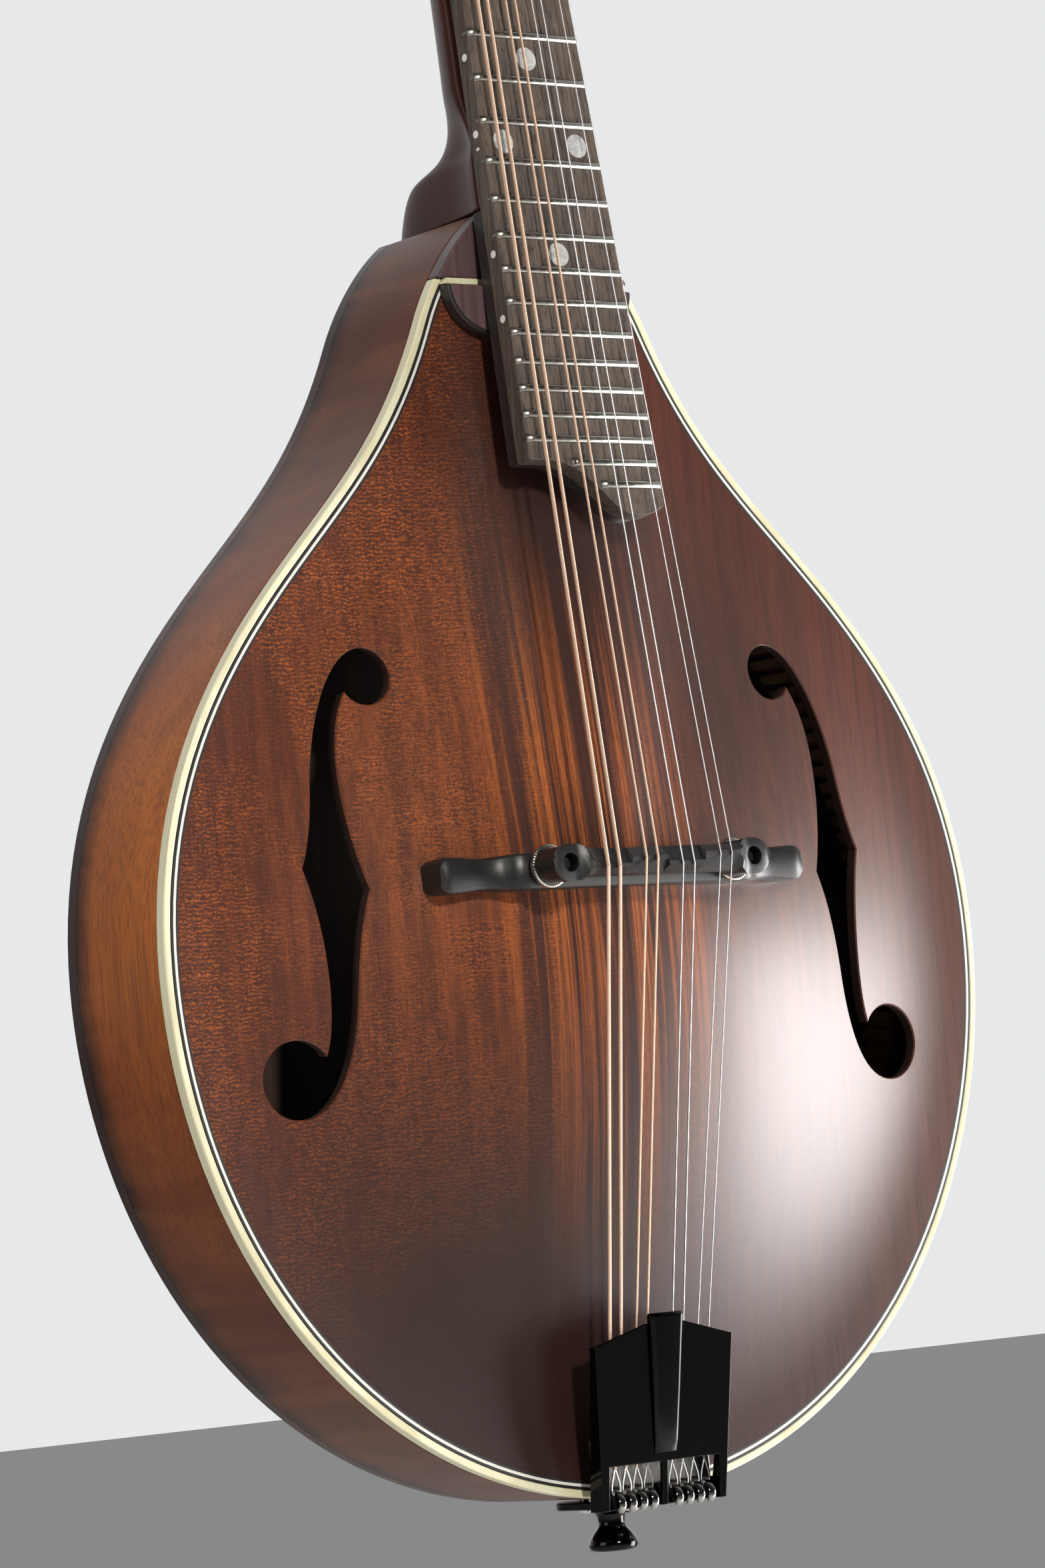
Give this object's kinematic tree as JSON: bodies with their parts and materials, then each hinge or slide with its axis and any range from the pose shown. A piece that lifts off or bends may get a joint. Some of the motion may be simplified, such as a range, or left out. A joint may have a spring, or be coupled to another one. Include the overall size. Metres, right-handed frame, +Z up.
{
  "type": "mandolin",
  "caption": "Teardrop-bodied arch-top mandolin with scrolled sound holes, floating bridge, cast tailpiece and geared tuners.",
  "frame": {"origin": "centre of the end pin's flat outer face, on the body's centre line", "axes": "+Z up the body towards the headstock, -Y out of the soundboard, +X towards the treble side"},
  "size_m": [0.2542, 0.1112, 0.6528],
  "materials": {
    "top_finish": "satin",
    "side_finish": "satin",
    "neck_finish": "satin",
    "bare_maple": "bare",
    "bare_spruce": "bare",
    "cream_binding": "satin, grained",
    "rosewood": "oiled",
    "ebony": "satin",
    "bone": "polished",
    "steel": "bright",
    "nickel": "polished nickel",
    "black_nickel": "polished black nickel",
    "wound_bronze": "wound",
    "pearloid": "pearly"
  },
  "bodies": {
    "body": {"soundboard": "top_finish", "back_plate": "side_finish", "rim_bass": "side_finish", "rim_treble": "side_finish", "neck_block": "bare_maple", "tail_block": "bare_maple", "front_lining_bass": "bare_spruce", "front_lining_treble": "bare_spruce", "back_lining_bass": "bare_spruce", "back_lining_treble": "bare_spruce", "tone_bar_bass": "bare_spruce", "tone_bar_treble": "bare_spruce", "binding_bass": "cream_binding", "binding_treble": "cream_binding", "cross_binding": "cream_binding", "shoulder_plate": "top_finish", "neck": "neck_finish", "truss_rod": "steel", "truss_rod_cover": "ebony", "headstock_overlay": "ebony", "fingerboard": "rosewood", "fingerboard_riser": "ebony", "nut": "bone", "bridge_base": "ebony", "bridge_post_bass": "steel", "bridge_post_treble": "steel", "tailpiece": "black_nickel", "tailpiece_screw_1": "nickel", "tailpiece_screw_2": "nickel", "end_pin": "black_nickel", "tuner_plate_bass": "nickel", "tuner_plate_treble": "nickel", "string_1": "wound_bronze", "string_2": "wound_bronze", "string_3": "wound_bronze", "string_4": "wound_bronze", "string_5": "steel", "string_6": "steel", "string_7": "steel", "string_8": "steel"},
    "saddle": {"bridge_saddle": "ebony"},
    "thumbwheel_bass": {"thumbwheel_bass": "nickel"},
    "thumbwheel_treble": {"thumbwheel_treble": "nickel"},
    "post_1": {"tuner_post_1": "nickel"},
    "post_2": {"tuner_post_2": "nickel"},
    "post_3": {"tuner_post_3": "nickel"},
    "post_4": {"tuner_post_4": "nickel"},
    "post_5": {"tuner_post_5": "nickel"},
    "post_6": {"tuner_post_6": "nickel"},
    "post_7": {"tuner_post_7": "nickel"},
    "post_8": {"tuner_post_8": "nickel"},
    "knob_1": {"tuner_knob_1": "pearloid"},
    "knob_2": {"tuner_knob_2": "pearloid"},
    "knob_3": {"tuner_knob_3": "pearloid"},
    "knob_4": {"tuner_knob_4": "pearloid"},
    "knob_5": {"tuner_knob_5": "pearloid"},
    "knob_6": {"tuner_knob_6": "pearloid"},
    "knob_7": {"tuner_knob_7": "pearloid"},
    "knob_8": {"tuner_knob_8": "pearloid"}
  },
  "joints": [
    {"name": "saddle_height", "type": "slide", "parent": "body", "child": "saddle", "axis": [0, -1, 0], "range_m": [-0.0005, 0.003], "deforming": ["string_1", "string_2", "string_3", "string_4", "string_5", "string_6", "string_7", "string_8"]},
    {"name": "thumbwheel_bass_turn", "type": "hinge", "parent": "saddle", "child": "thumbwheel_bass", "pos_m": [-0.0288, -0.03715, 0.1667], "axis": [0, -1, 0], "range_deg": [-259, 1544]},
    {"name": "thumbwheel_treble_turn", "type": "hinge", "parent": "saddle", "child": "thumbwheel_treble", "pos_m": [0.0288, -0.03715, 0.1667], "axis": [0, -1, 0], "range_deg": [-259, 1544]},
    {"name": "knob_1_turn", "type": "hinge", "parent": "body", "child": "knob_1", "pos_m": [-0.019, 0.03395, 0.55507], "axis": [1, 0, 0], "continuous": true},
    {"name": "post_1_turn", "type": "hinge", "parent": "body", "child": "post_1", "pos_m": [-0.019, 0.01412, 0.55382], "axis": [0, 0.9369, -0.3496], "continuous": true},
    {"name": "knob_2_turn", "type": "hinge", "parent": "body", "child": "knob_2", "pos_m": [-0.019, 0.04199, 0.57661], "axis": [1, 0, 0], "continuous": true},
    {"name": "post_2_turn", "type": "hinge", "parent": "body", "child": "post_2", "pos_m": [-0.019, 0.02216, 0.57537], "axis": [0, 0.9369, -0.3496], "continuous": true},
    {"name": "knob_3_turn", "type": "hinge", "parent": "body", "child": "knob_3", "pos_m": [-0.019, 0.05003, 0.59816], "axis": [1, 0, 0], "continuous": true},
    {"name": "post_3_turn", "type": "hinge", "parent": "body", "child": "post_3", "pos_m": [-0.019, 0.0302, 0.59692], "axis": [0, 0.9369, -0.3496], "continuous": true},
    {"name": "knob_4_turn", "type": "hinge", "parent": "body", "child": "knob_4", "pos_m": [-0.019, 0.05807, 0.61971], "axis": [1, 0, 0], "continuous": true},
    {"name": "post_4_turn", "type": "hinge", "parent": "body", "child": "post_4", "pos_m": [-0.019, 0.03823, 0.61847], "axis": [0, 0.9369, -0.3496], "continuous": true},
    {"name": "knob_5_turn", "type": "hinge", "parent": "body", "child": "knob_5", "pos_m": [0.019, 0.03395, 0.55507], "axis": [1, 0, 0], "continuous": true},
    {"name": "post_5_turn", "type": "hinge", "parent": "body", "child": "post_5", "pos_m": [0.019, 0.01412, 0.55382], "axis": [0, 0.9369, -0.3496], "continuous": true},
    {"name": "knob_6_turn", "type": "hinge", "parent": "body", "child": "knob_6", "pos_m": [0.019, 0.04199, 0.57661], "axis": [1, 0, 0], "continuous": true},
    {"name": "post_6_turn", "type": "hinge", "parent": "body", "child": "post_6", "pos_m": [0.019, 0.02216, 0.57537], "axis": [0, 0.9369, -0.3496], "continuous": true},
    {"name": "knob_7_turn", "type": "hinge", "parent": "body", "child": "knob_7", "pos_m": [0.019, 0.05003, 0.59816], "axis": [1, 0, 0], "continuous": true},
    {"name": "post_7_turn", "type": "hinge", "parent": "body", "child": "post_7", "pos_m": [0.019, 0.0302, 0.59692], "axis": [0, 0.9369, -0.3496], "continuous": true},
    {"name": "knob_8_turn", "type": "hinge", "parent": "body", "child": "knob_8", "pos_m": [0.019, 0.05807, 0.61971], "axis": [1, 0, 0], "continuous": true},
    {"name": "post_8_turn", "type": "hinge", "parent": "body", "child": "post_8", "pos_m": [0.019, 0.03823, 0.61847], "axis": [0, 0.9369, -0.3496], "continuous": true}
  ],
  "couplings": [
    {"joint": "thumbwheel_bass_turn", "follows": "saddle_height", "rad_per_m": 8976},
    {"joint": "thumbwheel_treble_turn", "follows": "saddle_height", "rad_per_m": 8976},
    {"joint": "post_1_turn", "follows": "knob_1_turn", "ratio": -0.0625},
    {"joint": "post_2_turn", "follows": "knob_2_turn", "ratio": -0.0625},
    {"joint": "post_3_turn", "follows": "knob_3_turn", "ratio": -0.0625},
    {"joint": "post_4_turn", "follows": "knob_4_turn", "ratio": -0.0625},
    {"joint": "post_5_turn", "follows": "knob_5_turn", "ratio": -0.0625},
    {"joint": "post_6_turn", "follows": "knob_6_turn", "ratio": -0.0625},
    {"joint": "post_7_turn", "follows": "knob_7_turn", "ratio": -0.0625},
    {"joint": "post_8_turn", "follows": "knob_8_turn", "ratio": -0.0625}
  ]
}
